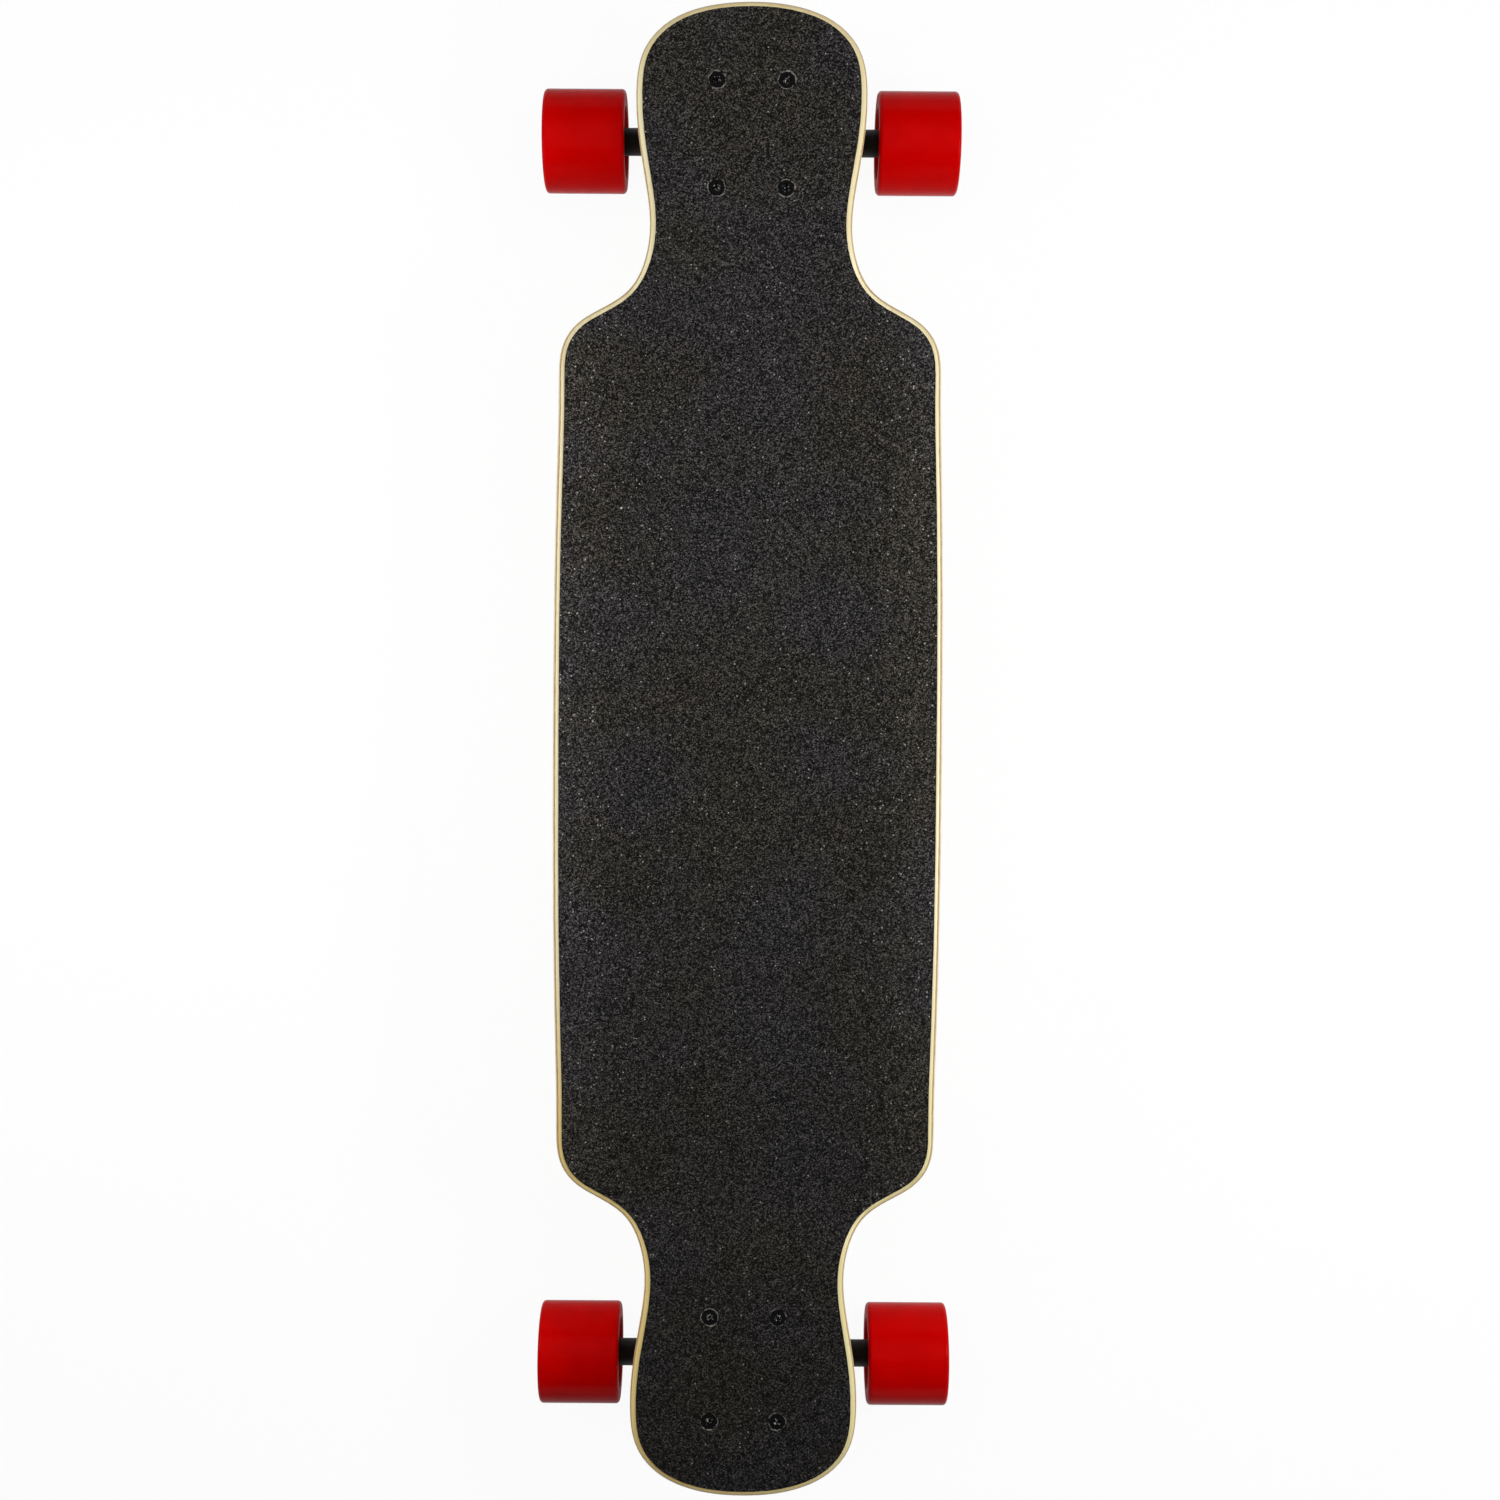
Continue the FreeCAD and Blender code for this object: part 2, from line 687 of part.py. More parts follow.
def joined(piece):
    """A piece as one shape, whether it is one solid or a group of them."""
    return Part.makeCompound(piece) if isinstance(piece, list) else piece


def all_pieces():
    pieces = {"deck": make_deck(), "grip_tape": make_grip()}
    for name, piece in truck_pieces().items():
        pieces["front_" + name] = joined(piece)
        pieces["rear_" + name] = turned_round(joined(piece))
    for side, name_here, name_across in ((-1, "left", "right"), (1, "right", "left")):
        for name, piece in wheel_pieces(side).items():
            pieces["front_" + name_here + "_" + name] = joined(piece)
            pieces["rear_" + name_across + "_" + name] = turned_round(joined(piece))
    return pieces


os.makedirs("parts", exist_ok=True)
for node, shape in all_pieces().items():
    shape.exportStep("parts/" + node + ".step")
    print(node, len(shape.Solids), shape.isValid(), round(shape.Volume, 1))
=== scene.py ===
import json
import math

import bmesh
import bpy
from mathutils import Matrix, Vector


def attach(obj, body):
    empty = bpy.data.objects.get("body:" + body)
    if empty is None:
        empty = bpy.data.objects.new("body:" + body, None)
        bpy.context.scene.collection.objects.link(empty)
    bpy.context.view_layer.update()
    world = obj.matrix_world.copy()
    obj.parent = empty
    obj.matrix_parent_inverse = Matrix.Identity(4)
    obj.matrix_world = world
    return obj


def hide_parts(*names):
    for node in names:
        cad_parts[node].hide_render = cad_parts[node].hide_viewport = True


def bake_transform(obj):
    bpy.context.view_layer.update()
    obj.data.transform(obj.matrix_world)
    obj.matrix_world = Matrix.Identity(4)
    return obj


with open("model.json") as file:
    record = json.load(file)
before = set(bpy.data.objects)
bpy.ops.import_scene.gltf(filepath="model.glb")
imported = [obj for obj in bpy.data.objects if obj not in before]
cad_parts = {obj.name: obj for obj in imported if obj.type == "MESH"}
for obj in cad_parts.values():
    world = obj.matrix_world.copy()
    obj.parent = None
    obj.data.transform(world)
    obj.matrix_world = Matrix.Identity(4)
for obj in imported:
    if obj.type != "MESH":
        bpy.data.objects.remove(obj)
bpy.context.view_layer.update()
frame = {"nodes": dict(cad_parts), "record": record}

# Places of the board that its finishes follow, in metres
mount_y = 0.3705
bolt_half_x = 0.0206375
bolt_half_y = 0.03175
grip_hole = 0.0053
axle_y = 0.3835
axle_z = 0.03175
tread_radius = 0.03175

# Pressed top face of the deck: its ramps along the board and the curl of its rails across
deck_top = 0.10478
deck_thickness = 0.011
deck_drop = 0.012
ramp_out = 0.3225
ramp_third = 0.024
floor_half = 0.07575
curl_half = 0.09645
floor_curl = 59.36
rail_curl = 44.6

# Plies of the deck, a skin that keeps both faces inside their own ply, worn ends, and the painted shade of the
# rear rim
ply_count = 9
skin_depth = 0.00002
skin_share = 0.002
top_plies = 2.0
worn_start = 0.40
worn_end = 0.445
rear_shade_start = 0.14
rear_shade_full = 0.22
rear_shade_half = 0.06

# Grain of the maple to the metre, across the board, along it and up
long_grain_scale = (160.0, 5.0, 160.0)
cross_grain_scale = (5.0, 220.0, 160.0)
figure_scale = (14.0, 1.6, 14.0)

# Grains of the grip to the metre, and how far from its grain's middle a painted glint or a stray speck reaches
grit_scale = 1500.0
fine_grit_scale = 3600.0
fine_share = 0.2
glint_scale = 620.0
glint_reach = 0.3
glint_start = 0.05
speck_scale = 26.0
speck_reach = 0.016
speck_rarity = 0.82

# Marks left by turning on treads and on ground rings
tread_line = 0.0006
tread_scuff_scale = (60.0, 900.0, 900.0)
ring_scale = (5200.0, 1.0, 1.0)
mark_depth = 0.00002

# The middle of a noise, where most of its values lie
noise_low = 0.3
noise_high = 0.7

# Threaded tails that stand out of their nuts: where they start, then radius, pitch and length
bolt_nut_end = 0.0791
bolt_thread = (0.00238, 0.00079, 0.0028)
ring_middle = Vector((0.0, 0.394496, 0.052416))
kingpin_tilt = math.radians(42.0)
kingpin_axis = Vector((0.0, math.sin(kingpin_tilt), -math.cos(kingpin_tilt)))
kingpin_nut_end = 0.0281
kingpin_thread = (0.00476, 0.00106, 0.0019)
axle_nut_end = 0.1229
axle_thread = (0.00397, 0.00094, 0.0019)
thread_height = 0.0002
thread_sink = 0.0001
thread_steps = 24

# Bushings between the hanger's ring and the washers, along the kingpin from the ring's middle
bushing_seat = 0.00453
bushing_radius = 0.0123
bushing_bore = 0.00491
bushing_room = 0.0079
bushing_round = 0.0016
bushing_round_steps = 6
bushing_sides = 64
bushing_cuts = 11
bushing_sharp = math.radians(35.0)
barrel_tip = 0.0195
barrel_room_end = 0.0115
cone_tip = 0.0175
cone_radius = 0.00875
cone_room_end = 0.010

# The rear truck is the front one turned half round
end_turns = {"front": Matrix.Identity(3), "rear": Matrix.Rotation(math.pi, 3, "Z")}

# Studio: the floor's size, how clear it is to the camera near the board and far off, and the backdrop
floor_size = 6.0
floor_near, floor_far = 0.7, 2.2
floor_clear_near, floor_clear_far = 0.94, 1.0
floor_glow_share = 0.3
backdrop_top, backdrop_colour = 0.32, (1.0, 1.0, 1.0)
ceiling_start, ceiling_colour = 0.5, (0.04, 0.04, 0.04)
room_light = 0.3

# Softboxes: place, the point it is aimed at, width, height, power, and whether gloss shows it
softboxes = {
    "top_light": ((0.0, 0.4, 1.3), (0.0, 0.38, 0.05), 1.8, 1.4, 14.0, False),
    "right_light": ((0.85, 0.0, 0.8), (0.0, -0.05, 0.05), 0.5, 0.3, 7.5, True),
    "left_light": ((-0.6, 0.08, 0.5), (0.0, 0.08, 0.05), 0.5, 0.3, 2.15, True),
}

# The photograph's camera, in millimetres, metres and degrees
sensor_width = 36.0
lens_length = 50.895
camera_place = (-0.00078, 0.04867, 1.37496)
camera_turn = (-1.9812, -0.0884, 0.3911)


class Recipe:
    """Shader nodes added step by step; each input takes a socket or a plain value."""

    def __init__(self, tree):
        self.tree = tree
        self.tree.nodes.clear()
        self.coords = self.add("ShaderNodeTexCoord")

    def add(self, kind, **settings):
        node = self.tree.nodes.new(kind)
        for key, value in settings.items():
            setattr(node, key, value)
        return node

    def feed(self, socket, value):
        if isinstance(value, bpy.types.NodeSocket):
            self.tree.links.new(value, socket)
        elif isinstance(value, tuple) and socket.type == "RGBA":
            socket.default_value = (*value, 1.0)
        else:
            socket.default_value = value

    def math(self, operation, first, second=0.0, third=0.0):
        node = self.add("ShaderNodeMath", operation=operation)
        for socket, value in zip(node.inputs, (first, second, third)):
            self.feed(socket, value)
        return node.outputs[0]

    def split(self, vector):
        node = self.add("ShaderNodeSeparateXYZ")
        self.feed(node.inputs[0], vector)
        return node.outputs[0], node.outputs[1], node.outputs[2]

    def span(self, value, low, high, start=0.0, end=1.0):
        """Value between low and high carried over to start and end, held flat outside."""
        node = self.add("ShaderNodeMapRange")
        for socket, number in zip(node.inputs, (value, low, high, start, end)):
            self.feed(socket, number)
        return node.outputs[0]

    def stops(self, value, *pairs):
        """Colour that runs through (place, colour) pairs."""
        node = self.add("ShaderNodeValToRGB")
        elements = node.color_ramp.elements
        while len(elements) < len(pairs):
            elements.new(1.0)
        for element, (place, colour) in zip(elements, pairs):
            element.position = place
            element.color = (*colour, 1.0)
        self.feed(node.inputs[0], value)
        return node.outputs[0]


class Finish(Recipe):
    """The material of one kind of piece."""

    def __init__(self, name):
        self.material = bpy.data.materials.new(name)
        self.material.use_nodes = True
        super().__init__(self.material.node_tree)
        self.place = self.coords.outputs["Object"]
        self.shader = self.add("ShaderNodeBsdfPrincipled")
        self.out = self.add("ShaderNodeOutputMaterial")
        self.feed(self.out.inputs["Surface"], self.shader.outputs[0])

    def finished(self, **values):
        """The material, with these values on the shader's own sockets."""
        for key, value in values.items():
            self.feed(self.shader.inputs[key.replace("_", " ")], value)
        return self.material

    def joined(self, *values):
        node = self.add("ShaderNodeCombineXYZ")
        for socket, value in zip(node.inputs, values):
            self.feed(socket, value)
        return node.outputs[0]

    def scaled(self, vector, factors):
        node = self.add("ShaderNodeVectorMath", operation="MULTIPLY")
        self.feed(node.inputs[0], vector)
        self.feed(node.inputs[1], factors)
        return node.outputs[0]

    def noise(self, scale, detail=3.0, roughness=0.6, vector=None):
        node = self.add("ShaderNodeTexNoise")
        self.feed(node.inputs["Vector"], self.place if vector is None else vector)
        self.feed(node.inputs["Scale"], scale)
        self.feed(node.inputs["Detail"], detail)
        self.feed(node.inputs["Roughness"], roughness)
        return node.outputs[0]

    def streaks(self, factors, detail, roughness):
        """Noise drawn out along the piece by its own scale each way."""
        return self.noise(1.0, detail, roughness, self.scaled(self.place, factors))

    def cells(self, scale):
        """Distance to the nearest grain and a random number for each grain."""
        node = self.add("ShaderNodeTexVoronoi")
        self.feed(node.inputs["Vector"], self.place)
        self.feed(node.inputs["Scale"], scale)
        red = self.add("ShaderNodeSeparateColor")
        self.feed(red.inputs[0], node.outputs["Color"])
        return node.outputs["Distance"], red.outputs[0]

    def few_grains(self, scale, reach, rarity):
        """One within reach of those grains whose random number is above rarity, nought elsewhere."""
        near, chance = self.cells(scale)
        return self.math("MULTIPLY", self.math("LESS_THAN", near, reach),
                         self.math("GREATER_THAN", chance, rarity))

    def varied(self, noise, low, high):
        """Number that runs from low to high over the middle of a noise."""
        return self.span(noise, noise_low, noise_high, low, high)

    def mottled(self, noise, low, high):
        """Colour that runs from low to high over the middle of a noise."""
        return self.stops(noise, (noise_low, low), (noise_high, high))

    def blend(self, share, first, second):
        node = self.add("ShaderNodeMix", data_type="RGBA")
        self.feed(node.inputs[0], share)
        self.feed(node.inputs[6], first)
        self.feed(node.inputs[7], second)
        return node.outputs[2]

    def tinted(self, colour, tint):
        node = self.add("ShaderNodeMix", data_type="RGBA", blend_type="MULTIPLY")
        node.inputs[0].default_value = 1.0
        self.feed(node.inputs[6], colour)
        self.feed(node.inputs[7], tint)
        return node.outputs[2]

    def mixed(self, share, first, second):
        """Two shaders by share."""
        node = self.add("ShaderNodeMixShader")
        for socket, value in zip(node.inputs, (share, first, second)):
            self.feed(socket, value)
        return node.outputs[0]

    def bump(self, height, depth, strength, under=None):
        node = self.add("ShaderNodeBump")
        self.feed(node.inputs["Strength"], strength)
        self.feed(node.inputs["Distance"], depth)
        self.feed(node.inputs["Height"], height)
        if under is not None:
            self.feed(node.inputs["Normal"], under)
        return node.outputs[0]

    def length(self, first, second):
        """Long side of a right angle's triangle."""
        squares = self.math("ADD", self.math("POWER", first, 2.0), self.math("POWER", second, 2.0))
        return self.math("SQRT", squares)

    def bolt_distance(self):
        """Distance across the deck to the nearest truck bolt."""
        x, y, _ = self.split(self.place)
        off_x = self.math("SUBTRACT", self.math("ABSOLUTE", x), bolt_half_x)
        along = self.math("ABSOLUTE", self.math("SUBTRACT", self.math("ABSOLUTE", y), mount_y))
        return self.length(off_x, self.math("SUBTRACT", along, bolt_half_y))

    def axle_distance(self):
        """Distance from the nearer axle's line."""
        _, y, z = self.split(self.place)
        off_y = self.math("SUBTRACT", self.math("ABSOLUTE", y), axle_y)
        return self.length(off_y, self.math("SUBTRACT", z, axle_z))

    def deck_depth(self):
        """How deep a point lies below the pressed top face of the deck."""
        x, y, z = self.split(self.place)
        along = self.math("DIVIDE", self.math("SUBTRACT", ramp_out, self.math("ABSOLUTE", y)), ramp_third)
        fall = None
        for step, weight in enumerate((1.0, -3.0, 3.0, -1.0)):
            past = self.math("MAXIMUM", self.math("SUBTRACT", along, float(step)), 0.0)
            term = self.math("MULTIPLY", self.math("POWER", past, 3.0), weight * deck_drop / 6)
            fall = term if fall is None else self.math("ADD", fall, term)
        across = self.math("ABSOLUTE", x)
        lift = 0.0
        for start, weight in ((floor_half, floor_curl), (curl_half, rail_curl)):
            past = self.math("MAXIMUM", self.math("SUBTRACT", across, start), 0.0)
            lift = self.math("MULTIPLY_ADD", self.math("POWER", past, 3.0), weight, lift)
        top = self.math("ADD", self.math("SUBTRACT", deck_top, fall), lift)
        return self.math("SUBTRACT", top, z)


def grey(level):
    return (level, level, level)


def grip_finish():
    """Black grit bonded to a sheet, with painted glints on bright grains, stray specks, torn rims round the
    bolts, and painted light that lightens the rails and darkens towards the tail.
    """
    grit = ((0.0, grey(0.0008)), (0.3, (0.003, 0.0029, 0.0029)), (0.5, (0.011, 0.0107, 0.0107)),
            (0.75, (0.039, 0.038, 0.038)), (1.0, (0.13, 0.127, 0.127)))
    warm_tint, cool_tint = (1.0, 0.93, 0.77), (1.0, 0.95, 1.0)
    painted_glint_colour, speck_colour, torn_colour = (0.26, 0.25, 0.235), (0.42, 0.42, 0.4), (0.30, 0.29, 0.26)
    f = Finish("grip_grit")
    near, chance = f.cells(grit_scale)
    fine_near, fine_chance = f.cells(fine_grit_scale)
    grain = f.math("MULTIPLY_ADD", fine_chance, fine_share, f.math("MULTIPLY", chance, 1.0 - fine_share))
    cloud = f.noise(14.0, roughness=0.5)
    colour = f.tinted(f.stops(grain, *grit), f.stops(cloud, (0.38, warm_tint), (0.62, cool_tint)))
    x, y, _ = f.split(f.place)
    across = f.math("ABSOLUTE", x)
    # Painted glints: bright grains that stand in for highlights on the grit, more of them towards the rails
    painted_glint_rarity = f.span(across, glint_start, curl_half, 0.985, 0.95)
    colour = f.blend(f.few_grains(glint_scale, glint_reach, painted_glint_rarity), colour, painted_glint_colour)
    colour = f.blend(f.few_grains(speck_scale, speck_reach, speck_rarity), colour, speck_colour)
    torn = f.span(f.bolt_distance(), grip_hole + 0.0001, grip_hole + 0.0005, 1.0, 0.0)
    torn = f.math("MULTIPLY", torn, f.span(f.noise(190.0, roughness=0.5), 0.48, 0.62))
    colour = f.blend(torn, colour, torn_colour)
    # Painted light: the curled rails are lightened up to 1.4 times as a painted sheen, and the grip is
    # darkened to 0.6 towards the tail as painted shade
    painted_rail_sheen = f.span(across, floor_half, curl_half + 0.01, 1.0, 1.4)
    painted_light_tint = f.math("MULTIPLY", painted_rail_sheen, f.span(y, -worn_end, 0.1, 0.6, 1.0))
    colour = f.tinted(colour, f.joined(painted_light_tint, painted_light_tint, painted_light_tint))
    rough = f.span(chance, 0.4, 1.0, 0.85, 0.55)
    bumps = f.bump(f.math("ADD", near, f.math("MULTIPLY", fine_near, 0.5)), -0.0004, 0.6)
    return f.finished(Base_Color=colour, Roughness=rough, Normal=bumps, Specular_IOR_Level=0.1)


def maple_finish():
    """Pressed maple plies under a clear coat: long grain and cross grain by turns, with glue lines, and
    painted shade on the steep edge and the rear rim.
    """
    pale_stops = ((0.25, (0.74, 0.62, 0.33)), (0.5, (0.85, 0.77, 0.46)), (0.75, (0.90, 0.84, 0.55)))
    dark_stops = ((0.3, (0.33, 0.19, 0.08)), (0.6, (0.45, 0.29, 0.13)), (0.8, (0.53, 0.37, 0.18)))
    figure_colour, ply_colour, glue_colour = (0.78, 0.66, 0.36), (0.5, 0.34, 0.18), (0.16, 0.09, 0.04)
    edge_shade_colour, worn_colour, end_colour = (0.60, 0.42, 0.16), (0.58, 0.43, 0.17), (0.40, 0.26, 0.105)
    left_shade_tint, right_shade_tint = (0.93, 0.80, 0.50), (0.95, 0.95, 0.82)
    sheet_colour, fray_colour = grey(0.012), (0.42, 0.41, 0.37)
    ply_share, end_share = 0.18, 0.75
    f = Finish("maple_plies")
    depth = f.span(f.deck_depth(), skin_depth, deck_thickness - skin_depth, skin_share, ply_count - skin_share)
    near_top = f.math("LESS_THAN", depth, top_plies)
    ply = f.math("FLOOR", depth)
    inside = f.math("FRACT", depth)
    x, y, _ = f.split(f.place)
    _, normal_y, normal_z = f.split(f.coords.outputs["Normal"])
    upright = f.math("ABSOLUTE", normal_z)
    side = f.span(upright, 0.9, 0.985, 1.0, 0.0)

    # Grain of the plies by turns, each ply with a shade of its own
    long_grain = f.streaks(long_grain_scale, 4.0, 0.6)
    cross_grain = f.streaks(cross_grain_scale, 4.0, 0.6)
    figure = f.streaks(figure_scale, 2.0, 0.5)
    pale = f.blend(f.span(figure, 0.35, 0.7, 0.0, 0.3), f.stops(long_grain, *pale_stops), figure_colour)
    colour = f.blend(f.math("MODULO", ply, 2.0), pale, f.stops(cross_grain, *dark_stops))
    shade = f.add("ShaderNodeTexWhiteNoise", noise_dimensions="1D")
    f.feed(shade.inputs["W"], ply)
    colour = f.blend(f.math("MULTIPLY", shade.outputs["Value"], ply_share), colour, ply_colour)

    # Painted shade on the steep faces of the edge, worn ends, and painted shade on the rear rim's top plies,
    # warmer and darker on the left
    # Painted shade: the steep faces of the rounded edge are darkened towards tan
    colour = f.blend(f.span(upright, 0.3, 0.8, 0.2, 0.0), colour, edge_shade_colour)
    worn = f.span(f.math("ABSOLUTE", y), worn_start, worn_end, 0.0, 0.4)
    colour = f.blend(worn, colour, worn_colour)
    # Painted shade: the top plies of the rear rim are tinted warmer and darker, most of all on the left
    painted_rear_shade = f.math("MULTIPLY", f.span(y, -rear_shade_full, -rear_shade_start, 1.0, 0.0), near_top)
    painted_shade_tint = f.stops(f.span(x, -rear_shade_half, rear_shade_half), (0.0, left_shade_tint), (1.0, right_shade_tint))
    colour = f.blend(painted_rear_shade, colour, f.tinted(colour, painted_shade_tint))

    # Glue lines and end grain on the edge, and frayed grip in the bolt holes
    to_glue = f.math("MINIMUM", inside, f.math("SUBTRACT", 1.0, inside))
    to_face = f.math("MINIMUM", depth, f.math("SUBTRACT", float(ply_count), depth))
    glue = f.math("MULTIPLY", f.span(to_glue, 0.0, 0.07, 0.65, 0.0), f.span(to_face, 0.2, 0.4))
    colour = f.blend(f.math("MULTIPLY", glue, side), colour, glue_colour)
    end_grain = f.math("MULTIPLY", f.math("ABSOLUTE", normal_y), side)
    colour = f.blend(f.math("MULTIPLY", end_grain, end_share), colour, end_colour)
    hole = f.math("MULTIPLY", f.math("LESS_THAN", f.bolt_distance(), grip_hole), near_top)
    colour = f.blend(hole, colour, f.stops(f.noise(420.0), (0.47, sheet_colour), (0.56, fray_colour)))
    rough = f.varied(long_grain, 0.34, 0.48)
    bumps = f.bump(long_grain, 0.00006, 0.5)
    return f.finished(Base_Color=colour, Roughness=rough, Normal=bumps, Coat_Weight=0.25, Coat_Roughness=0.25)


def urethane_wheel_finish():
    """Glossy cast red urethane with a lightly scuffed tread."""
    deep_red, bright_red, scuff_red = (0.47, 0.0002, 0.0003), (0.52, 0.0004, 0.0004), (0.34, 0.004, 0.004)
    f = Finish("red_urethane")
    x, _, _ = f.split(f.place)
    normal_x, _, _ = f.split(f.coords.outputs["Normal"])
    tread = f.span(f.axle_distance(), tread_radius - 0.0006, tread_radius - 0.0001)
    cloud = f.noise(70.0)
    scuff = f.streaks(tread_scuff_scale, 3.0, 0.7)
    scuffed = f.math("MULTIPLY", tread, f.span(scuff, 0.62, 0.75, 0.0, 0.25))
    colour = f.blend(scuffed, f.mottled(cloud, deep_red, bright_red), scuff_red)
    rough = f.math("ADD", f.varied(cloud, 0.10, 0.17), f.math("MULTIPLY", scuffed, 0.8))
    rough = f.math("ADD", rough, f.span(f.math("ABSOLUTE", normal_x), 0.85, 0.99, 0.0, 0.25))
    turned = f.math("SINE", f.math("MULTIPLY", x, 2 * math.pi / tread_line))
    bumps = f.bump(f.math("MULTIPLY", turned, tread), 0.000004, 0.1)
    bumps = f.bump(f.noise(260.0, 2.0, 0.5), 0.00003, 0.25, bumps)
    return f.finished(Base_Color=colour, Roughness=rough, Normal=bumps, Specular_IOR_Level=0.03)


def casting_finish():
    """Satin black paint over a sand-cast skin, rubbed a little thin in places."""
    f = Finish("black_casting")
    pebbles = f.noise(900.0)
    cloud = f.noise(45.0)
    rub = f.math("MULTIPLY", f.span(f.noise(160.0, 5.0, 0.7), 0.66, 0.74), 0.35)
    colour = f.blend(rub, f.mottled(cloud, grey(0.003), (0.006, 0.0055, 0.005)), grey(0.05))
    rough = f.varied(cloud, 0.36, 0.5)
    bumps = f.bump(cloud, 0.0005, 0.25, f.bump(pebbles, 0.00012, 0.5))
    return f.finished(Base_Color=colour, Roughness=rough, Normal=bumps, Specular_IOR_Level=0.22)


def metal_finish(name, low, high, rough_low, rough_high, grain):
    """Bare or plated metal with fine machining marks."""
    f = Finish(name)
    marks = f.noise(grain, 4.0, 0.65)
    cloud = f.noise(110.0)
    colour = f.mottled(cloud, low, high)
    rough = f.span(f.math("ADD", marks, cloud), 0.7, 1.3, rough_low, rough_high)
    bumps = f.bump(marks, mark_depth, 0.5)
    return f.finished(Base_Color=colour, Roughness=rough, Normal=bumps, Metallic=1.0)


def black_oxide_finish():
    """Blackened bolts with bright spots round the driver recess, partly chipped finish and partly painted
    glints.
    """
    chip_and_glint_colour = (0.5, 0.49, 0.47)
    f = Finish("black_oxide")
    marks = f.noise(1500.0)
    _, chance = f.cells(1500.0)
    # Bright spots near the recess: partly chips to bare steel, partly painted glints
    chips_and_glints = f.math("MULTIPLY", f.span(f.bolt_distance(), 0.0012, 0.0026, 1.0, 0.0), f.span(chance, 0.8, 0.86))
    colour = f.blend(chips_and_glints, f.mottled(marks, grey(0.0012), grey(0.003)), chip_and_glint_colour)
    rough = f.varied(marks, 0.34, 0.5)
    bumps = f.bump(marks, 0.00003, 0.5)
    return f.finished(Base_Color=colour, Roughness=rough, Normal=bumps, Specular_IOR_Level=0.25)


def ring_finish(name, low, high, rough_low, rough_high):
    """Ground steel with marks that run round the axle."""
    f = Finish(name)
    rings = f.noise(1.0, 3.0, 0.7, f.scaled(f.joined(f.axle_distance()), ring_scale))
    cloud = f.noise(180.0, 2.0, 0.5)
    colour = f.mottled(f.math("MULTIPLY_ADD", rings, 0.5, f.math("MULTIPLY", cloud, 0.5)), low, high)
    rough = f.varied(rings, rough_low, rough_high)
    bumps = f.bump(rings, mark_depth, 0.3)
    return f.finished(Base_Color=colour, Roughness=rough, Normal=bumps, Metallic=1.0)


def moulded_finish(name, low, high, rough_low, rough_high, grain, depth):
    """Moulded plastic or rubber with a fine skin."""
    f = Finish(name)
    skin = f.noise(grain)
    colour = f.mottled(f.noise(60.0), grey(low), grey(high))
    rough = f.varied(skin, rough_low, rough_high)
    return f.finished(Base_Color=colour, Roughness=rough, Normal=f.bump(skin, depth, 0.5))


finishes = {
    "maple": maple_finish(),
    "grip": grip_finish(),
    "red_urethane": urethane_wheel_finish(),
    "black_casting": casting_finish(),
    "black_hardware": black_oxide_finish(),
    "zinc_hardware": metal_finish("bright_zinc", (0.56, 0.57, 0.58), (0.68, 0.68, 0.66), 0.22, 0.38, 1300.0),
    "axle_steel": metal_finish("drawn_steel", (0.46, 0.46, 0.46), (0.58, 0.58, 0.57), 0.25, 0.4, 1800.0),
    "bearing_steel": ring_finish("ground_steel", (0.6, 0.6, 0.6), (0.74, 0.74, 0.75), 0.1, 0.22),
    "shield_steel": ring_finish("pressed_steel", (0.5, 0.5, 0.5), (0.62, 0.62, 0.61), 0.22, 0.36),
    "spacer_aluminium": ring_finish("turned_aluminium", (0.7, 0.7, 0.71), (0.8, 0.8, 0.8), 0.2, 0.34),
    "cup_urethane": moulded_finish("cup_urethane", 0.014, 0.024, 0.4, 0.55, 700.0, 0.00004),
    "bushing_urethane": moulded_finish("bushing_urethane", 0.03, 0.05, 0.28, 0.4, 500.0, 0.00003),
    "core_plastic": moulded_finish("core_plastic", 0.012, 0.02, 0.4, 0.55, 1200.0, 0.00004),
}

slots = {piece["node"]: piece["material_slot"] for piece in frame["record"]["subparts"]}
for name, piece in frame["nodes"].items():
    piece.data.materials.clear()
    piece.data.materials.append(finishes[slots[name]])


def linked_object(name, content):
    item = bpy.data.objects.new(name, content)
    bpy.context.scene.collection.objects.link(item)
    return item


def truck_piece(name, end, shape, slot):
    """Piece made from a finished shape of the front truck, turned for its own end of the board."""
    bmesh.ops.rotate(shape, verts=shape.verts, cent=(0, 0, 0), matrix=end_turns[end])
    bmesh.ops.recalc_face_normals(shape, faces=shape.faces)
    mesh = bpy.data.meshes.new(name)
    shape.to_mesh(mesh)
    shape.free()
    mesh.materials.append(finishes[slot])
    piece = linked_object(name, mesh)
    return piece


def thread_ridge(shape, foot, axis, radius, pitch, length):
    """One helical ridge round a bolt's tail, from its foot along its axis."""
    out = axis.orthogonal().normalized()
    root, crest = radius - thread_sink, radius + thread_height
    corners = [foot + out * root, foot + out * crest + axis * (pitch / 2), foot + out * root + axis * pitch]
    profile = shape.faces.new([shape.verts.new(corner) for corner in corners])
    steps = round(thread_steps * (length - pitch) / pitch)
    turn = 2 * math.pi / thread_steps
    start = [profile, *profile.edges, *profile.verts]
    bmesh.ops.spin(shape, geom=start, cent=foot, axis=axis, dvec=axis * (pitch / thread_steps),
                   angle=turn * steps, steps=steps)


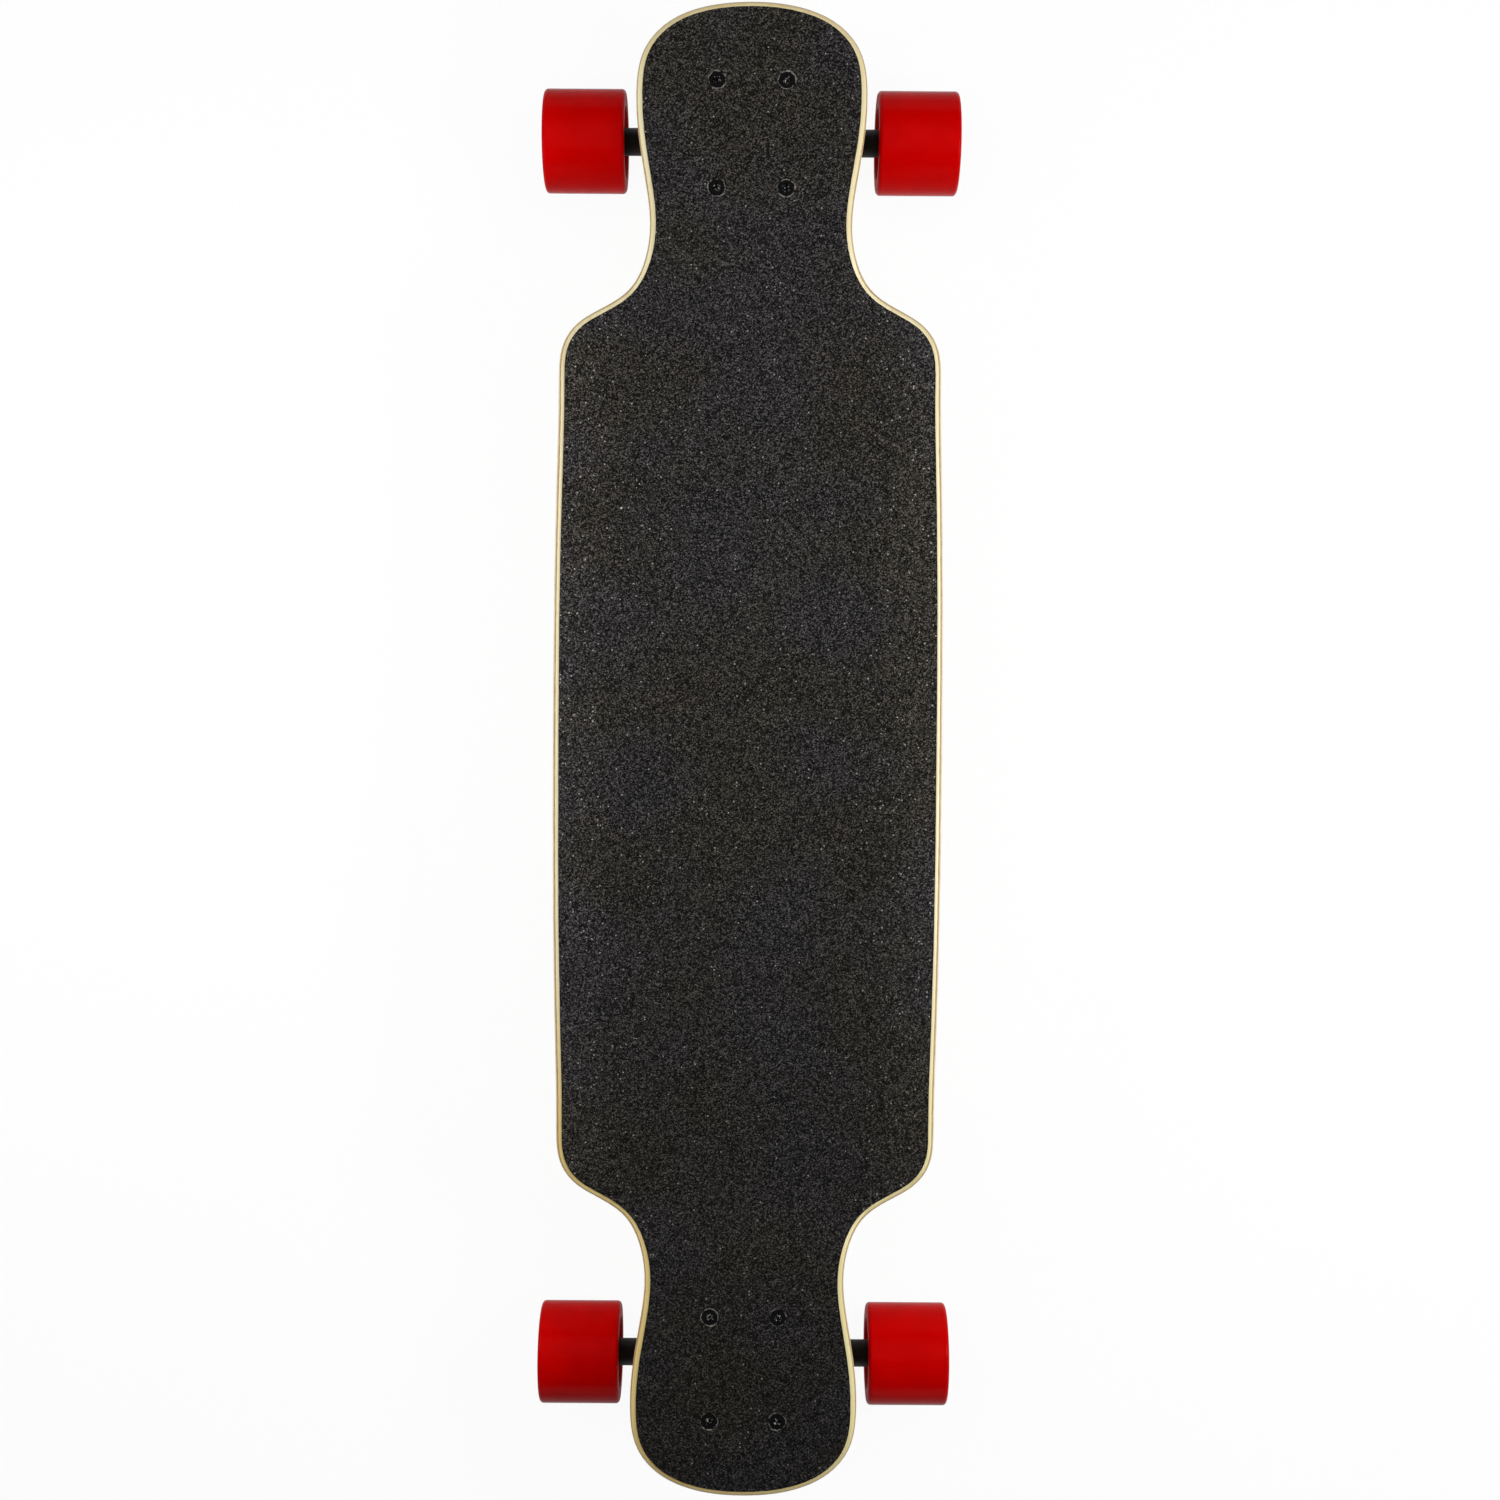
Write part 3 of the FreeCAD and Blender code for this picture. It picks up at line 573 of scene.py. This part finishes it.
def threaded_piece(name, end, body, slot, ridges):
    """All threads of one kind on one truck."""
    shape = bmesh.new()
    for ridge in ridges:
        thread_ridge(shape, *ridge)
    bmesh.ops.holes_fill(shape, edges=shape.edges, sides=0)
    piece = truck_piece(name, end, shape, slot)
    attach(piece, body)


bolt_ridges = [(Vector((x, mount_y + y, bolt_nut_end)), Vector((0.0, 0.0, 1.0)), *bolt_thread)
               for x in (-bolt_half_x, bolt_half_x) for y in (-bolt_half_y, bolt_half_y)]
kingpin_ridge = (ring_middle + kingpin_axis * kingpin_nut_end, kingpin_axis, *kingpin_thread)
axle_ridges = [(Vector((side * axle_nut_end, axle_y, axle_z)), Vector((side, 0.0, 0.0)), *axle_thread)
               for side in (-1.0, 1.0)]
for end in end_turns:
    threaded_piece(end + "_bolt_threads", end, "deck", "black_hardware", bolt_ridges)
    threaded_piece(end + "_kingpin_threads", end, "deck", "zinc_hardware", [kingpin_ridge])
    threaded_piece(end + "_axle_threads", end, end + "_hanger", "axle_steel", axle_ridges)


def bushing_piece(name, end, node, axis, tip, tip_radius, room_end):
    """Urethane bushing between the hanger's ring and its washer, in place of the part's own bushing.

    Its bore widens towards the ring, which leaves the kingpin room when the ring leans.
    """
    out = axis.orthogonal().normalized()
    section = [(bushing_seat, bushing_room), (bushing_seat, bushing_radius), (tip, tip_radius),
               (tip, bushing_bore), (room_end, bushing_room)]
    shape = bmesh.new()
    corners = [shape.verts.new(ring_middle + axis * level + out * radius) for level, radius in section]
    shape.faces.new(corners)
    bmesh.ops.bevel(shape, geom=corners[1:3], offset=bushing_round, offset_type="OFFSET", affect="VERTICES",
                    segments=bushing_round_steps, profile=0.5, material=-1)
    bmesh.ops.delete(shape, geom=shape.faces[:], context="FACES_ONLY")
    bmesh.ops.spin(shape, geom=shape.verts[:] + shape.edges[:], cent=ring_middle, axis=axis,
                   angle=2 * math.pi, steps=bushing_sides, use_merge=True)
    walls = [edge for edge in shape.edges
             if abs((edge.verts[1].co - edge.verts[0].co).dot(axis)) > bushing_round]
    bmesh.ops.subdivide_edges(shape, edges=walls, cuts=bushing_cuts)
    piece = truck_piece(name, end, shape, "bushing_urethane")
    piece.data.shade_smooth()
    piece.data.set_sharp_from_angle(angle=bushing_sharp)
    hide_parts(node)
    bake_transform(piece)


for end in end_turns:
    bushing_piece(end + "_barrel_bushing", end, end + "_boardside_bushing", -kingpin_axis, barrel_tip,
                  bushing_radius, barrel_room_end)
    bushing_piece(end + "_cone_bushing", end, end + "_roadside_bushing", kingpin_axis, cone_tip,
                  cone_radius, cone_room_end)


def studio_floor():
    """Pale floor that keeps a soft shadow, clear to the camera so that the backdrop shows through it."""
    mesh = bpy.data.meshes.new("studio_floor")
    shape = bmesh.new()
    bmesh.ops.create_grid(shape, x_segments=1, y_segments=1, size=floor_size)
    shape.to_mesh(mesh)
    shape.free()
    floor = linked_object("studio_floor", mesh)
    f = Finish("studio_floor")
    path = f.add("ShaderNodeLightPath")
    x, y, _ = f.split(f.place)
    seen = f.math("MAXIMUM", path.outputs["Is Camera Ray"], path.outputs["Is Transmission Ray"])
    clear = f.span(f.length(x, y), floor_near, floor_far, floor_clear_near, floor_clear_far)
    see_through = f.add("ShaderNodeBsdfTransparent")
    shadowed = f.mixed(f.math("MULTIPLY", seen, clear), f.shader.outputs[0], see_through.outputs[0])
    glow = f.add("ShaderNodeEmission")
    mirrored = f.math("MULTIPLY", path.outputs["Is Glossy Ray"], floor_glow_share)
    f.feed(f.out.inputs["Surface"], f.mixed(mirrored, shadowed, glow.outputs[0]))
    colour = f.mottled(f.noise(3.0, 2.0, 0.5), grey(0.86), grey(0.88))
    mesh.materials.append(f.finished(Base_Color=colour, Roughness=0.9))


def studio_world():
    """White backdrop all round under a darker ceiling, seen at full strength and lighting the board less."""
    world = bpy.data.worlds.new("studio")
    bpy.context.scene.world = world
    world.use_nodes = True
    room = Recipe(world.node_tree)
    _, _, height = room.split(room.coords.outputs["Generated"])
    colour = room.stops(height, (backdrop_top, backdrop_colour), (ceiling_start, ceiling_colour))
    path = room.add("ShaderNodeLightPath")
    mirrored = room.math("MAXIMUM", path.outputs["Is Glossy Ray"], path.outputs["Is Transmission Ray"])
    seen = room.math("MAXIMUM", path.outputs["Is Camera Ray"], mirrored)
    backdrop = room.add("ShaderNodeBackground")
    room.feed(backdrop.inputs["Strength"], room.span(seen, 0.0, 1.0, room_light, 1.0))
    room.feed(backdrop.inputs["Color"], colour)
    out = room.add("ShaderNodeOutputWorld")
    room.feed(out.inputs["Surface"], backdrop.outputs[0])


def softbox(name, place, aim, width, height, power, in_gloss):
    """Rectangular lamp turned towards a point, itself out of the camera's sight."""
    lamp = bpy.data.lights.new(name, "AREA")
    lamp.shape = "RECTANGLE"
    lamp.size = width
    lamp.size_y = height
    lamp.energy = power
    item = linked_object(name, lamp)
    item.location = place
    item.rotation_euler = (Vector(aim) - Vector(place)).to_track_quat("-Z", "Y").to_euler()
    item.visible_camera = False
    item.visible_glossy = in_gloss


def photo_camera():
    """The photograph's own view, from above the middle of the board."""
    camera = bpy.data.cameras.new("photo_camera")
    camera.sensor_width = sensor_width
    camera.lens = lens_length
    item = linked_object("photo_camera", camera)
    item.location = camera_place
    item.rotation_euler = [math.radians(angle) for angle in camera_turn]
    bpy.context.scene.camera = item


studio_floor()
studio_world()
for name, setting in softboxes.items():
    softbox(name, *setting)
photo_camera()
bpy.context.scene.view_settings.view_transform = "Standard"
